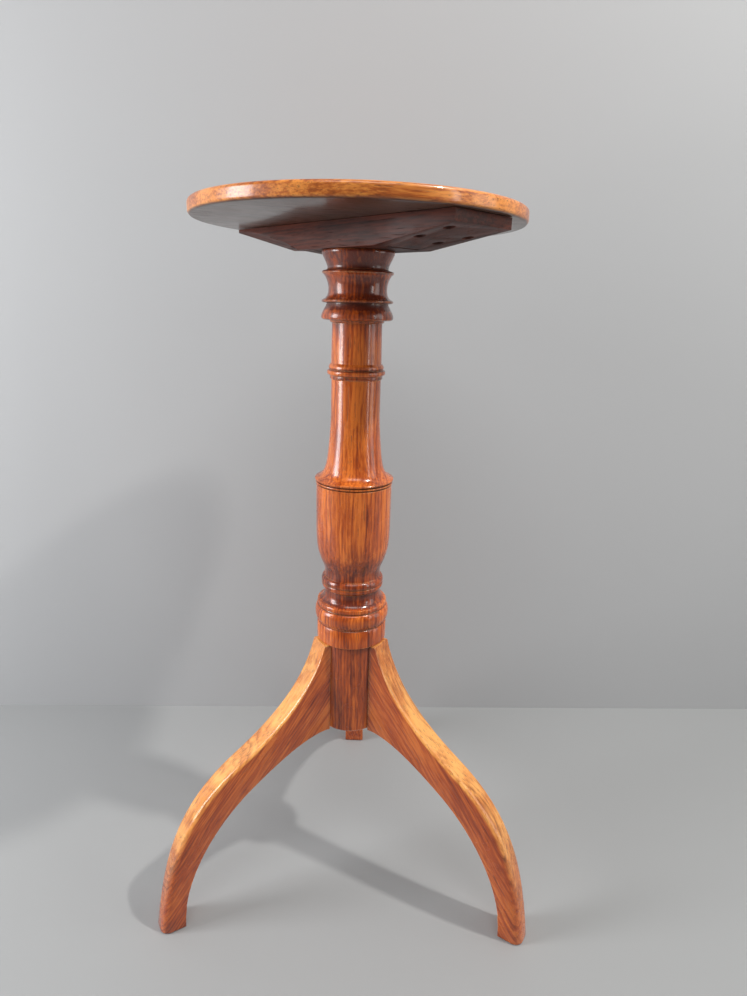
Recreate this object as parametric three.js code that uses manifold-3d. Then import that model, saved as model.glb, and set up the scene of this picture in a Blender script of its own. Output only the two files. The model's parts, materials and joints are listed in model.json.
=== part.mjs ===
// Tilt top table: a round oak top on a turned column with three curved legs.
// Millimetres, +Z up. The origin is on the floor, in the middle of the table's bounding box.
// The back leg points along +Y and the column stands a little in front of the origin.

import * as THREE from 'three';
import { mergeVertices } from 'three/addons/utils/BufferGeometryUtils.js';
import Module from 'manifold-3d';

const wasm = await Module();
wasm.setup();

// ---------------------------------------------------------------- driving dimensions

const GAP = 0.3;                  // play left wherever two pieces meet

// round top
const TABLE_HEIGHT = 695;
const TOP_RADIUS = 147.5;
const TOP_THICKNESS = 12;
const TOP_ARRIS = 3;              // radius of the rim's rounded edges

// bearer, the board under the top; its own frame has X along it and Y across it
const BEARER_AZIMUTH = -45;       // degrees, direction of its tapered end
const BEARER_LENGTH = 276;
const BEARER_WIDTH = 70;
const BEARER_THICKNESS = 22;
const TAPER_LENGTH = 83;          // straight taper at the +X end
const TAPER_TIP = 9;              // thickness left at that end
const SCOOP_RADIUS = 247;         // hollow cut at the -X end
const SCOOP_TIP = 9;              // thickness left at that end, on the centre line
const SCOOP_TILT = 9.7;           // degrees, the hollow cuts deeper at the front edge

// tilting joint
const BLOCK_WIDTH = 38;
const BLOCK_TAIL = 34;            // from the column's axis to the block's square end
const PIVOT_RISE = 8.3;           // pin's axis above the bearer's underside
const PIVOT_RADIUS = 4;
const PIVOT_COVER = 5;            // wood left in front of the pin, so it doesn't show
const STOP_CLEARANCE = 1.1;       // upright bearer to the column's cup
const CHEEK_CLEARANCE = 0.5;      // block to each cheek of the slot
const NOSE_CLEARANCE = 1.3;       // block's round nose to the slot's end
const TAIL_CLEARANCE = 6;         // block's square end to the slot's end

// column
const TENON_RADIUS = 12;
const TENON_SHORT = 1.5;          // tenon's end below the underside of the top
const KERF_DEPTH = 14;
const KERF_TOP = 3.6;
const KERF_BOTTOM = 1.2;
const KERF_LENGTH = 21;
const CUP_RADIUS = 32.6;
const SHAFT_RADIUS = 23.5;
const VASE_RADIUS = 37.3;
const COLLAR_RADIUS = 35.9;
const COLLAR_UNDERSIDE = 279;
const POST_BOTTOM = 181;

// legs, in a frame with X outwards from the column's axis
const FRONT_LEG_DIP = 31.5;       // degrees, front legs forward of the table's left-right line
const LEG_THICKNESS = 25;
const LEG_ROOT = 31;              // shoulder, from the column's axis
const LEG_ROOT_WIDTH = 6.5;       // leg's own width at its top, under the collar
const LEG_ROOT_BOTTOM = 178.5;
const LEG_ARRIS = 3;              // upper arrises' chamfer on the leg, and at the worn foot
const FOOT_ARRIS = 7;
const FOOT_RADIUS = 218;          // column's axis to the toe
const FOOT_LENGTH = 24;           // sole, from heel to toe
const TONGUE_DEPTH = 11.5;
const TONGUE_NECK = 10;
const TONGUE_TAIL = 15;
const TONGUE_SHORT = 17;          // tongue's end below the collar

// wood screws of the bearer, [x, y] in the bearer's frame
const SCREW_PLACES = [
  [93, -22], [122, -22], [81, 14], [105, 23],
  [-68, -21], [-97, -21], [-84, 20], [-118, 20],
];
const SCREW_SHANK = 1.9;
const SCREW_HEAD = 4;
const SCREW_HEAD_HEIGHT = 2;
const SCREW_POCKET = 5;           // radius of the counterbore
const SCREW_COVER = 5.5;          // wood between the pocket and the top
const SCREW_BITE = 7;             // shank inside the top
const SCREW_POINT = 3;
const SLOT_WIDTH = 0.8;           // driver slots
const SLOT_DEPTH = 0.7;

// catch, a sliding bolt behind the bearer, in the bearer's frame
const CATCH_X = -20;
const CATCH_DROP = 9.5;           // bolt's axis below the underside of the top
const BOLT_RADIUS = 3;
const BOLT_CLEARANCE = 0.35;      // bolt in its holes, on the radius
const BOLT_TRAVEL = 11;
const BOLT_SETBACK = 2;           // open bolt's tip behind the block's side
const COLLAR_WIDTH = 3;
const BOLT_COLLAR = 4.8;
const PLATE_THICKNESS = 1.5;
const PLATE_WIDTH = 24;
const PLATE_MARGIN = 2;           // plate from the bearer's side, and past its loops
const LOOP_THICKNESS = 3;
const LOOP_WIDTH = 12;
const LOOP_BELOW = 5;             // loop's end below the bolt's axis
const KNOB_RADIUS = 5.5;
const SPIGOT_RADIUS = 1.7;
const SPIGOT_LENGTH = 5;
const CATCH_SCREW_SHANK = 1.2;
const CATCH_SCREW_HEAD = 2.4;
const CATCH_SCREW_LENGTH = 8;

// ---------------------------------------------------------------- sizes that follow

const topUnderside = TABLE_HEIGHT - TOP_THICKNESS;
const bearerTop = topUnderside - GAP;
const bearerBottom = bearerTop - BEARER_THICKNESS;
const columnTop = bearerBottom - GAP;
const tenonTop = topUnderside - TENON_SHORT;
const kerfBottom = tenonTop - KERF_DEPTH;
const pivotZ = bearerBottom + PIVOT_RISE;
const pivotX = CUP_RADIUS + PIVOT_RISE + STOP_CLEARANCE;
const noseRadius = bearerTop - pivotZ;
const slotHalf = BLOCK_WIDTH / 2 + CHEEK_CLEARANCE;
const postRadius = Math.hypot(LEG_ROOT, LEG_THICKNESS / 2);
const legTop = COLLAR_UNDERSIDE - GAP;
const tongueTop = COLLAR_UNDERSIDE - TONGUE_SHORT;
const degree = Math.PI / 180;

const legAzimuths = { leg_left: 180 + FRONT_LEG_DIP, leg_right: -FRONT_LEG_DIP, leg_back: 90 };

// the column stands where the table's bounding box is centred on the origin
const dip = FRONT_LEG_DIP * degree;
const footReach = FOOT_RADIUS * Math.sin(dip) + (LEG_THICKNESS / 2) * Math.cos(dip);
const columnY = (Math.max(TOP_RADIUS, footReach) - FOOT_RADIUS) / 2;

// ---------------------------------------------------------------- materials

const oakTop = new THREE.MeshStandardMaterial({ color: 0xb8692f, roughness: 0.4, metalness: 0 });
const oakTurned = new THREE.MeshStandardMaterial({ color: 0xa5532a, roughness: 0.35, metalness: 0 });
const oakLeg = new THREE.MeshStandardMaterial({ color: 0xb4622e, roughness: 0.35, metalness: 0 });
const oakDark = new THREE.MeshStandardMaterial({ color: 0x4a2418, roughness: 0.6, metalness: 0 });
const iron = new THREE.MeshStandardMaterial({ color: 0x3a3634, roughness: 0.6, metalness: 0.8 });
const brass = new THREE.MeshStandardMaterial({ color: 0xa88446, roughness: 0.4, metalness: 0.9 });

// ---------------------------------------------------------------- helpers

// A closed three.js geometry as a solid that can be joined and cut.
function solid(geometry) {
  const bare = geometry.clone();
  bare.deleteAttribute('normal');
  bare.deleteAttribute('uv');
  const merged = mergeVertices(bare, 1e-4);
  return new wasm.Manifold(new wasm.Mesh({
    numProp: 3,
    vertProperties: Float32Array.from(merged.attributes.position.array),
    triVerts: Uint32Array.from(merged.index.array),
  }));
}

function geometryOf(manifold) {
  const result = manifold.getMesh();
  const geometry = new THREE.BufferGeometry();
  geometry.setAttribute('position', new THREE.BufferAttribute(result.vertProperties, 3));
  geometry.setIndex(new THREE.BufferAttribute(result.triVerts, 1));
  geometry.computeVertexNormals();
  return geometry;
}

function piece(name, manifold, material) {
  const mesh = new THREE.Mesh(geometryOf(manifold), material.clone());
  mesh.name = name;
  return mesh;
}

// Box given by its lowest and highest corners.
function box(low, high) {
  const size = high.map((value, axis) => value - low[axis]);
  const geometry = new THREE.BoxGeometry(...size);
  geometry.translate(...low.map((value, axis) => value + size[axis] / 2));
  return solid(geometry);
}

// Upright round bar from one height to another.
function post(radius, bottom, top, x = 0, y = 0, sides = 24) {
  const geometry = new THREE.CylinderGeometry(radius, radius, top - bottom, sides);
  geometry.rotateX(Math.PI / 2);
  geometry.translate(x, y, (top + bottom) / 2);
  return solid(geometry);
}

// Round bar along Y.
function bar(radius, from, to, x, z, sides = 24) {
  const geometry = new THREE.CylinderGeometry(radius, radius, to - from, sides);
  geometry.translate(x, (from + to) / 2, z);
  return solid(geometry);
}

// Solid of revolution about Z from [radius, height] points that start and end on the axis.
function turned(points, sides) {
  const geometry = new THREE.LatheGeometry(points.map(([r, z]) => new THREE.Vector2(r, z)), sides);
  geometry.rotateX(Math.PI / 2);
  return solid(geometry);
}

// Outline drawn in X and Z, as thick as the two given Y values say.
function slab(shape, from, to, curveSegments = 12) {
  const options = { depth: to - from, bevelEnabled: false, curveSegments };
  const geometry = new THREE.ExtrudeGeometry(shape, options);
  geometry.rotateX(Math.PI / 2);
  geometry.translate(0, to, 0);
  return solid(geometry);
}

// Outline drawn in X and Y, from one height to another.
function prism(points, bottom, top) {
  const shape = new THREE.Shape(points.map(([x, y]) => new THREE.Vector2(x, y)));
  const geometry = new THREE.ExtrudeGeometry(shape, { depth: top - bottom, bevelEnabled: false });
  geometry.translate(0, 0, bottom);
  return solid(geometry);
}

// Skin over rings of [x, y, z] points, all of one length, with flat ends.
function loft(rings) {
  const count = rings[0].length;
  const index = [];
  const quad = (a, b, c, d) => index.push(a, b, c, a, c, d);
  for (let ring = 0; ring < rings.length - 1; ring += 1) {
    for (let corner = 0; corner < count; corner += 1) {
      const next = (corner + 1) % count;
      const here = ring * count;
      quad(here + corner, here + count + corner, here + count + next, here + next);
    }
  }
  const end = (rings.length - 1) * count;
  for (let corner = 1; corner < count - 1; corner += 1) {
    index.push(0, corner, corner + 1);
    index.push(end, end + corner + 1, end + corner);
  }
  const geometry = new THREE.BufferGeometry();
  geometry.setAttribute('position', new THREE.Float32BufferAttribute(rings.flat(2), 3));
  geometry.setIndex(index);
  return solid(geometry);
}

function polygon(points) {
  return new THREE.Shape(points.map(([x, y]) => new THREE.Vector2(x, y)));
}

// Points of an arc, both ends included; angles in degrees.
function arc(x, y, radius, from, to, steps) {
  return Array.from({ length: steps + 1 }, (_, step) => {
    const angle = (from + ((to - from) * step) / steps) * degree;
    return [x + radius * Math.cos(angle), y + radius * Math.sin(angle)];
  });
}

// Half-round moulding on a turned piece: bulges from the radius below to the radius above.
function bead(lowRadius, low, highRadius, high, bulge, steps = 6) {
  return Array.from({ length: steps + 1 }, (_, step) => {
    const share = step / steps;
    const across = lowRadius + (highRadius - lowRadius) * share;
    return [across + bulge * Math.sin(share * Math.PI), low + (high - low) * share];
  });
}

// Curve on a turned piece: a quarter-like sweep between two points, steep at its start
// for a power below 1 and steep at its end for a power above 1.
function sweep(from, to, power, steps = 6) {
  return Array.from({ length: steps + 1 }, (_, step) => {
    const share = step / steps;
    return [from[0] + (to[0] - from[0]) * share ** power, from[1] + (to[1] - from[1]) * share];
  });
}

// ---------------------------------------------------------------- table top

function tableTop() {
  const top = TABLE_HEIGHT;
  const rim = TOP_RADIUS - TOP_ARRIS;
  const profile = [
    [0, topUnderside],
    ...arc(rim, topUnderside + TOP_ARRIS, TOP_ARRIS, -90, 0, 3),
    ...arc(rim, top - TOP_ARRIS, TOP_ARRIS, 0, 90, 3),
    [0, top],
  ];
  let board = turned(profile, 60);
  for (const [x, y] of SCREW_PLACES) {
    const hole = post(SCREW_SHANK + GAP, topUnderside - 1, topUnderside + SCREW_BITE + GAP, x, y, 12);
    board = board.subtract(hole);
  }
  for (const [x, y] of catchScrewPlaces()) {
    const depth = topUnderside + CATCH_SCREW_LENGTH + GAP;
    board = board.subtract(post(CATCH_SCREW_SHANK + GAP, topUnderside - 1, depth, x, y, 10));
  }
  return piece('table_top', board, oakTop);
}

// ---------------------------------------------------------------- bearer and its screws

function bearer() {
  const end = BEARER_LENGTH / 2;
  const side = BEARER_WIDTH / 2;
  const outline = polygon([
    [-end, bearerTop],
    [-end, bearerBottom],
    [end - TAPER_LENGTH, bearerBottom],
    [end, bearerTop - TAPER_TIP],
    [end, bearerTop],
  ]);
  let board = slab(outline, -side, side);

  const hollow = new THREE.CylinderGeometry(SCOOP_RADIUS, SCOOP_RADIUS, 3 * BEARER_WIDTH, 120);
  hollow.rotateX(SCOOP_TILT * -degree);
  hollow.translate(-end, 0, bearerTop - SCOOP_TIP - SCOOP_RADIUS / Math.cos(SCOOP_TILT * degree));
  board = board.subtract(solid(hollow));

  const slotFrom = -BLOCK_TAIL - TAIL_CLEARANCE;
  const slotTo = pivotX + noseRadius + NOSE_CLEARANCE;
  board = board.subtract(box([slotFrom, -slotHalf, bearerBottom - 1], [slotTo, slotHalf, bearerTop + 1]));
  board = board.subtract(bar(PIVOT_RADIUS + GAP, PIVOT_COVER - side, side + 1, pivotX, pivotZ));
  const boltZ = topUnderside - CATCH_DROP;
  board = board.subtract(bar(BOLT_RADIUS + BOLT_CLEARANCE, 0, side + 1, CATCH_X, boltZ));

  const pocketTop = bearerTop - SCREW_COVER;
  for (const [x, y] of SCREW_PLACES) {
    board = board.subtract(post(SCREW_POCKET, bearerBottom - 1, pocketTop, x, y, 20));
    board = board.subtract(post(SCREW_SHANK + GAP, pocketTop - 1, bearerTop + 1, x, y, 12));
  }
  return piece('bearer', board, oakDark);
}

function woodScrew(name, x, y) {
  const headTop = bearerTop - SCREW_COVER - GAP;
  const headBottom = headTop - SCREW_HEAD_HEIGHT;
  const tip = topUnderside + SCREW_BITE;
  const profile = [
    [0, headBottom],
    [SCREW_HEAD - 0.6, headBottom],
    [SCREW_HEAD, headBottom + 0.6],
    [SCREW_HEAD, headTop],
    [SCREW_SHANK, headTop],
    [SCREW_SHANK, tip - SCREW_POINT],
    [0, tip],
  ];
  const half = SLOT_WIDTH / 2;
  const slot = box([-SCREW_HEAD, -half, headBottom - 1], [SCREW_HEAD, half, headBottom + SLOT_DEPTH]);
  const screw = piece(name, turned(profile, 14).subtract(slot), iron);
  screw.position.set(x, y, 0);
  return screw;
}

// ---------------------------------------------------------------- tilting joint

function pivotBlock() {
  const half = BLOCK_WIDTH / 2;
  const foot = Math.asin(PIVOT_RISE / noseRadius) / degree;
  const outline = polygon([
    [-BLOCK_TAIL, bearerBottom],
    ...arc(pivotX, pivotZ, noseRadius, -foot, 90, 12),
    [-BLOCK_TAIL, bearerTop],
  ]);
  let block = slab(outline, -half, half);
  block = block.subtract(post(TENON_RADIUS + GAP, bearerBottom - 1, bearerTop + 1, 0, 0, 32));
  block = block.subtract(bar(PIVOT_RADIUS + GAP, -half - 1, half + 1, pivotX, pivotZ));
  const boltReach = half + BOLT_SETBACK - BOLT_TRAVEL - 1;
  const boltZ = topUnderside - CATCH_DROP;
  block = block.subtract(bar(BOLT_RADIUS + BOLT_CLEARANCE, boltReach, half + 1, CATCH_X, boltZ));
  return piece('pivot_block', block, oakDark);
}

function pivotPin() {
  const side = BEARER_WIDTH / 2;
  return piece('pivot_pin', bar(PIVOT_RADIUS, PIVOT_COVER - side + GAP, side - GAP, pivotX, pivotZ), iron);
}

// Wedge and kerf share one outline: a slim trapezium, wide end up.
function wedgeOutline(widthTop, widthBottom) {
  return polygon([
    [-widthTop / 2, tenonTop],
    [-widthBottom / 2, kerfBottom],
    [widthBottom / 2, kerfBottom],
    [widthTop / 2, tenonTop],
  ]);
}

function tenonWedge() {
  const half = KERF_LENGTH / 2;
  const outline = wedgeOutline(KERF_TOP - 2 * GAP, KERF_BOTTOM - 2 * GAP);
  const shortened = box([-KERF_TOP, -half, kerfBottom - 1], [KERF_TOP, half, kerfBottom + GAP]);
  return piece('tenon_wedge', slab(outline, -half, half).subtract(shortened), oakDark);
}

// ---------------------------------------------------------------- column

// Mouldings from the post up to the cavetto over the vase, [radius, height above the collar's foot].
function lowerMouldings() {
  return [
    [COLLAR_RADIUS, 0],
    [COLLAR_RADIUS, 19],
    [34.6, 20.6],
    // torus and its fillet
    ...bead(34.9, 21.4, 34.9, 37.4, 3.1, 5),
    [35.6, 39],
    [35.6, 42.5],
    ...sweep([33.6, 43.2], [28.5, 53], 0.6, 3),
    [28.5, 56.4],
    // ring under the vase
    ...bead(29.6, 57, 30.7, 62.5, 1.3, 3),
    ...bead(30.7, 63, 29.4, 69, 1.5, 3),
    [28.3, 70.5],
    // vase
    [28.3, 76],
    [29.4, 80.5],
    [32.2, 86.5],
    [34.2, 93],
    [36, 102],
    [VASE_RADIUS, 126],
    [VASE_RADIUS, 166],
    [VASE_RADIUS - 0.9, 166.5],
    [VASE_RADIUS + 0.5, 167.4],
    [VASE_RADIUS + 0.5, 168.6],
    [VASE_RADIUS - 0.6, 169.4],
    // lip and cavetto
    [VASE_RADIUS + 1.3, 170.6],
    [VASE_RADIUS + 1.3, 172.2],
    [34.4, 174],
    [31.2, 177],
    [28.4, 183],
    [26.3, 194],
    [24.6, 211],
    [SHAFT_RADIUS, 231],
  ];
}

// Mouldings from the shaft's ring up to the cup, [radius, depth below the cup's top].
function upperMouldings() {
  return [
    // shaft's ring, with a dip on either side of its sharp arris
    [SHAFT_RADIUS, 113.6],
    [24.9, 112.6],
    [24.9, 110.2],
    [27.2, 108.9],
    [27.5, 107],
    [27.2, 105.4],
    [25.5, 104.6],
    [26.1, 103],
    [25.4, 100.6],
    [SHAFT_RADIUS, 98.6],
    [SHAFT_RADIUS - 0.2, 62.4],
    // bell
    [25.4, 61],
    [25.4, 60],
    [32.6, 59.2],
    [33.3, 57.4],
    [33, 55],
    [31.2, 50.6],
    [29, 47.2],
    [28.4, 45.2],
    // lower neck ring, scotia and upper neck ring
    [32.6, 44.3],
    [32.9, 43.4],
    [31.4, 41.8],
    [28.2, 40],
    [26.9, 36.6],
    [26.9, 32],
    [28.2, 26],
    [30.8, 20.8],
    [32.6, 19.2],
    [32.5, 17.8],
    [28.3, 16.1],
    // cup that carries the block
    [27.8, 14.2],
    [28.6, 12],
    [30.4, 8.8],
    [32, 4.8],
    [CUP_RADIUS, 1.4],
    [CUP_RADIUS - 0.4, 0],
  ];
}

// Turned outline from the post up to the tenon, [radius, height].
function columnProfile() {
  return [
    [0, POST_BOTTOM],
    [postRadius - 1, POST_BOTTOM],
    [postRadius, POST_BOTTOM + 1],
    [postRadius, COLLAR_UNDERSIDE],
    ...lowerMouldings().map(([radius, above]) => [radius, COLLAR_UNDERSIDE + above]),
    ...upperMouldings().map(([radius, below]) => [radius, columnTop - below]),
    [TENON_RADIUS, columnTop],
    [TENON_RADIUS, tenonTop],
    [0, tenonTop],
  ];
}

// Dovetail outline in X and Y, opened up by the given play.
function dovetail(play, outer) {
  const neck = TONGUE_NECK / 2 + play;
  const tail = TONGUE_TAIL / 2 + play;
  const inner = LEG_ROOT - TONGUE_DEPTH - play;
  return [
    [inner, -tail], [LEG_ROOT, -neck], [outer, -neck],
    [outer, neck], [LEG_ROOT, neck], [inner, tail],
  ];
}

function column() {
  let body = turned(columnProfile(), 30);
  const flatReach = postRadius + 5;
  for (const azimuth of Object.values(legAzimuths)) {
    const half = LEG_THICKNESS / 2 + GAP;
    const flat = box([LEG_ROOT - GAP, -half, POST_BOTTOM - 5], [flatReach, half, COLLAR_UNDERSIDE]);
    const socket = prism(dovetail(GAP, flatReach), POST_BOTTOM - 5, tongueTop + GAP);
    body = body.subtract(flat.add(socket).rotate([0, 0, azimuth]));
  }
  const reach = TENON_RADIUS + 1;
  const kerf = slab(wedgeOutline(KERF_TOP, KERF_BOTTOM), -reach, reach);
  const mouth = box([-KERF_TOP / 2, -reach, tenonTop - 0.01], [KERF_TOP / 2, reach, tenonTop + 1]);
  body = body.subtract(kerf.add(mouth).rotate([0, 0, BEARER_AZIMUTH]));
  return piece('column', body, oakTurned);
}

// ---------------------------------------------------------------- legs

// Side view of a leg, X outwards from the column's axis and Y up: its outer and inner lines
// as points in step with each other, from the root to the sole.
function legLines(steps) {
  const kneeX = LEG_ROOT + 97.5;
  const kneeZ = legTop - 108;
  const toe = FOOT_RADIUS;
  const hockX = LEG_ROOT + 90;
  const hockZ = LEG_ROOT_BOTTOM - 42.5;
  const heel = FOOT_RADIUS - FOOT_LENGTH;
  const outer = line(
    [[LEG_ROOT + LEG_ROOT_WIDTH, legTop], [LEG_ROOT + 19.5, legTop - 48]],
    [[kneeX - 41, kneeZ + 26], [kneeX, kneeZ], [kneeX + 54, kneeZ - 34]],
    [[toe - 12, kneeZ * 0.55], [toe, 0]],
    steps,
  );
  const inner = line(
    [[LEG_ROOT, LEG_ROOT_BOTTOM], [LEG_ROOT + 27, LEG_ROOT_BOTTOM + 1.5]],
    [[hockX - 25, hockZ + 18], [hockX, hockZ], [hockX + 33, hockZ - 24]],
    [[heel, hockZ * 0.46], [heel, 0]],
    steps,
  );
  return [outer, inner];
}

// Points of a smooth line through a start, a middle and an end, each with its own handle or handles.
function line([start, startHandle], [handleIn, middle, handleOut], [endHandle, end], steps) {
  const spans = [[start, startHandle, handleIn, middle], [middle, handleOut, endHandle, end]];
  const [upper, lower] = spans.map((span) => {
    const corners = span.map(([x, y]) => new THREE.Vector2(x, y));
    return new THREE.CubicBezierCurve(...corners).getPoints(steps);
  });
  return [...upper, ...lower.slice(1)];
}

// The leg's outer arrises are chamfered, more and more towards the foot.
function legBody() {
  const half = LEG_THICKNESS / 2;
  const [outer, inner] = legLines(10);
  const last = outer.length - 1;
  const rings = outer.map((edge, index) => {
    const start = Math.min(1, index / 3);
    const worn = Math.max(0, index / last - 0.5) * 2;
    const arris = start * LEG_ARRIS + worn * (FOOT_ARRIS - LEG_ARRIS);
    const back = inner[index];
    const side = edge.clone().sub(back).setLength(arris).negate().add(edge);
    return [
      [back.x, -half, back.y], [side.x, -half, side.y], [edge.x, arris - half, edge.y],
      [edge.x, half - arris, edge.y], [side.x, half, side.y], [back.x, half, back.y],
    ];
  });
  const root = polygon([
    [LEG_ROOT, LEG_ROOT_BOTTOM],
    [LEG_ROOT, legTop],
    [LEG_ROOT + LEG_ROOT_WIDTH, legTop],
  ]);
  return loft(rings).add(slab(root, -half, half));
}

function leg(name, azimuth) {
  const tongue = prism(dovetail(0, LEG_ROOT + 3), LEG_ROOT_BOTTOM + 1, tongueTop);
  const mesh = piece(name, legBody().add(tongue), oakLeg);
  mesh.rotation.z = azimuth * degree;
  return mesh;
}

// ---------------------------------------------------------------- catch

// Where the catch's parts lie along Y, from the bearer's side outwards.
function catchLayout() {
  const plateFrom = BEARER_WIDTH / 2 + PLATE_MARGIN;
  const innerLoop = plateFrom + PLATE_MARGIN;
  const outerLoop = innerLoop + LOOP_THICKNESS + BOLT_TRAVEL + COLLAR_WIDTH + 2 * GAP;
  const plateTo = outerLoop + LOOP_THICKNESS + PLATE_MARGIN;
  return { plateFrom, innerLoop, outerLoop, plateTo };
}

function catchScrewPlaces() {
  const { innerLoop, outerLoop } = catchLayout();
  const near = innerLoop + LOOP_THICKNESS + CATCH_SCREW_HEAD + 1;
  const far = outerLoop - CATCH_SCREW_HEAD - 1;
  const apart = PLATE_WIDTH / 2 - CATCH_SCREW_HEAD - 1;
  return [
    [CATCH_X - apart, near], [CATCH_X + apart, near],
    [CATCH_X - apart, far], [CATCH_X + apart, far],
  ];
}

function catchPlate() {
  const { plateFrom, innerLoop, outerLoop, plateTo } = catchLayout();
  const boltZ = topUnderside - CATCH_DROP;
  const plateTop = topUnderside - GAP;
  const plateBottom = plateTop - PLATE_THICKNESS;
  const half = PLATE_WIDTH / 2;
  let plate = box([CATCH_X - half, plateFrom, plateBottom], [CATCH_X + half, plateTo, plateTop]);
  for (const from of [innerLoop, outerLoop]) {
    const low = [CATCH_X - LOOP_WIDTH / 2, from, boltZ - LOOP_BELOW];
    const high = [CATCH_X + LOOP_WIDTH / 2, from + LOOP_THICKNESS, plateBottom + 0.5];
    plate = plate.add(box(low, high));
  }
  plate = plate.subtract(bar(BOLT_RADIUS + BOLT_CLEARANCE, plateFrom - 1, plateTo + 1, CATCH_X, boltZ, 20));
  for (const [x, y] of catchScrewPlaces()) {
    plate = plate.subtract(post(CATCH_SCREW_SHANK + GAP, plateBottom - 1, plateTop + 1, x, y, 10));
  }
  return piece('catch_plate', plate, brass);
}

function catchBolt() {
  const { outerLoop } = catchLayout();
  const boltZ = topUnderside - CATCH_DROP;
  const tip = BLOCK_WIDTH / 2 + BOLT_SETBACK;
  const shoulder = outerLoop + LOOP_THICKNESS + BOLT_TRAVEL + GAP + 1;
  const collarTo = outerLoop - GAP;
  const rod = bar(BOLT_RADIUS, tip, shoulder, CATCH_X, boltZ, 20);
  const collar = bar(BOLT_COLLAR, collarTo - COLLAR_WIDTH, collarTo, CATCH_X, boltZ, 20);
  const spigot = bar(SPIGOT_RADIUS, shoulder - 0.5, shoulder + SPIGOT_LENGTH, CATCH_X, boltZ, 14);
  return piece('catch_bolt', rod.add(collar).add(spigot), brass);
}

function catchKnob() {
  const { outerLoop } = catchLayout();
  const boltZ = topUnderside - CATCH_DROP;
  const shoulder = outerLoop + LOOP_THICKNESS + BOLT_TRAVEL + GAP + 1;
  const profile = [
    [SPIGOT_RADIUS + GAP, 0],
    [BOLT_RADIUS, 0],
    [BOLT_RADIUS, 1.5],
    ...arc(0, 2 + KNOB_RADIUS, KNOB_RADIUS, -60, 90, 8),
    [0, SPIGOT_LENGTH + 2 * GAP],
    [SPIGOT_RADIUS + GAP, SPIGOT_LENGTH + 2 * GAP],
    [SPIGOT_RADIUS + GAP, 0],
  ];
  const geometry = new THREE.LatheGeometry(profile.map(([r, y]) => new THREE.Vector2(r, y)), 20);
  geometry.translate(CATCH_X, shoulder + GAP, boltZ);
  return piece('catch_knob', solid(geometry), brass);
}

function catchScrew(name, x, y) {
  const headTop = topUnderside - 2 * GAP - PLATE_THICKNESS;
  const profile = [
    [0, headTop - 1.2],
    [CATCH_SCREW_HEAD - 0.8, headTop - 1.2],
    [CATCH_SCREW_HEAD, headTop - 0.5],
    [CATCH_SCREW_HEAD, headTop],
    [CATCH_SCREW_SHANK, headTop],
    [CATCH_SCREW_SHANK, topUnderside + CATCH_SCREW_LENGTH - 2],
    [0, topUnderside + CATCH_SCREW_LENGTH],
  ];
  const screw = piece(name, turned(profile, 12), brass);
  screw.position.set(x, y, 0);
  return screw;
}

// ---------------------------------------------------------------- assembly

const table = new THREE.Group();

const stand = new THREE.Group();
stand.position.y = columnY;
stand.add(column());
for (const [name, azimuth] of Object.entries(legAzimuths)) {
  stand.add(leg(name, azimuth));
}
table.add(stand);

const underTop = new THREE.Group();
underTop.position.y = columnY;
underTop.rotation.z = BEARER_AZIMUTH * degree;
underTop.add(tableTop(), bearer(), pivotBlock(), pivotPin(), tenonWedge());
SCREW_PLACES.forEach(([x, y], index) => underTop.add(woodScrew(`bearer_screw_${index + 1}`, x, y)));
underTop.add(catchPlate(), catchBolt(), catchKnob());
catchScrewPlaces().forEach(([x, y], index) => underTop.add(catchScrew(`catch_screw_${index + 1}`, x, y)));
table.add(underTop);

export default table;
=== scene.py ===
import json
import math

import bmesh
import bpy
from mathutils import Matrix, Vector


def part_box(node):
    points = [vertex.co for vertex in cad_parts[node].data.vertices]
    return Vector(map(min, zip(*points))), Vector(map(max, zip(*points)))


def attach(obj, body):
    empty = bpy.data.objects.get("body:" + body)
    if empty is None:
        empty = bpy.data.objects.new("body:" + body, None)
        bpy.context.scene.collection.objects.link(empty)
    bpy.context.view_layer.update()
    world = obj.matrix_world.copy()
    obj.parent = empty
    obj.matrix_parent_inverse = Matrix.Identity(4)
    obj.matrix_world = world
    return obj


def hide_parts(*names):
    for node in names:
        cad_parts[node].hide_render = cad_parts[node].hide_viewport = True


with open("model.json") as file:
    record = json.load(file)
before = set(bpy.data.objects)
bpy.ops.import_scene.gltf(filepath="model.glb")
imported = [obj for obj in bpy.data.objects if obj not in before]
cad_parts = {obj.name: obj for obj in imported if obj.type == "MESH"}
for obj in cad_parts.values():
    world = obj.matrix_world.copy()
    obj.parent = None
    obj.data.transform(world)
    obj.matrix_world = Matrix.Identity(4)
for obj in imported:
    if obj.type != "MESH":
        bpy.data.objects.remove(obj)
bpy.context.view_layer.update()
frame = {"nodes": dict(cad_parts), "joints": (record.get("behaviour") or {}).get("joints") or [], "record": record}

# Tilt top table in oak: a round top on a turned column with three curved legs.
# Metres, the frame's own axes: +Z up, the back leg along +Y.

MM = 0.001
WELD = 0.02 * MM                 # points closer than this are one point
TINY = 0.1 * MM                  # level with, or at rest on
PLAY = 0.3 * MM                  # room left between pieces that meet
THROUGH = 0.01                   # how far a cutter reaches past the surface

# column
COLUMN_SIDES = 120
COLLAR_FOOT = 279 * MM
FLAT_LOW, FLAT_REACH = 0.15, 0.05  # a leg's flat starts below the post and reaches past its side

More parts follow.
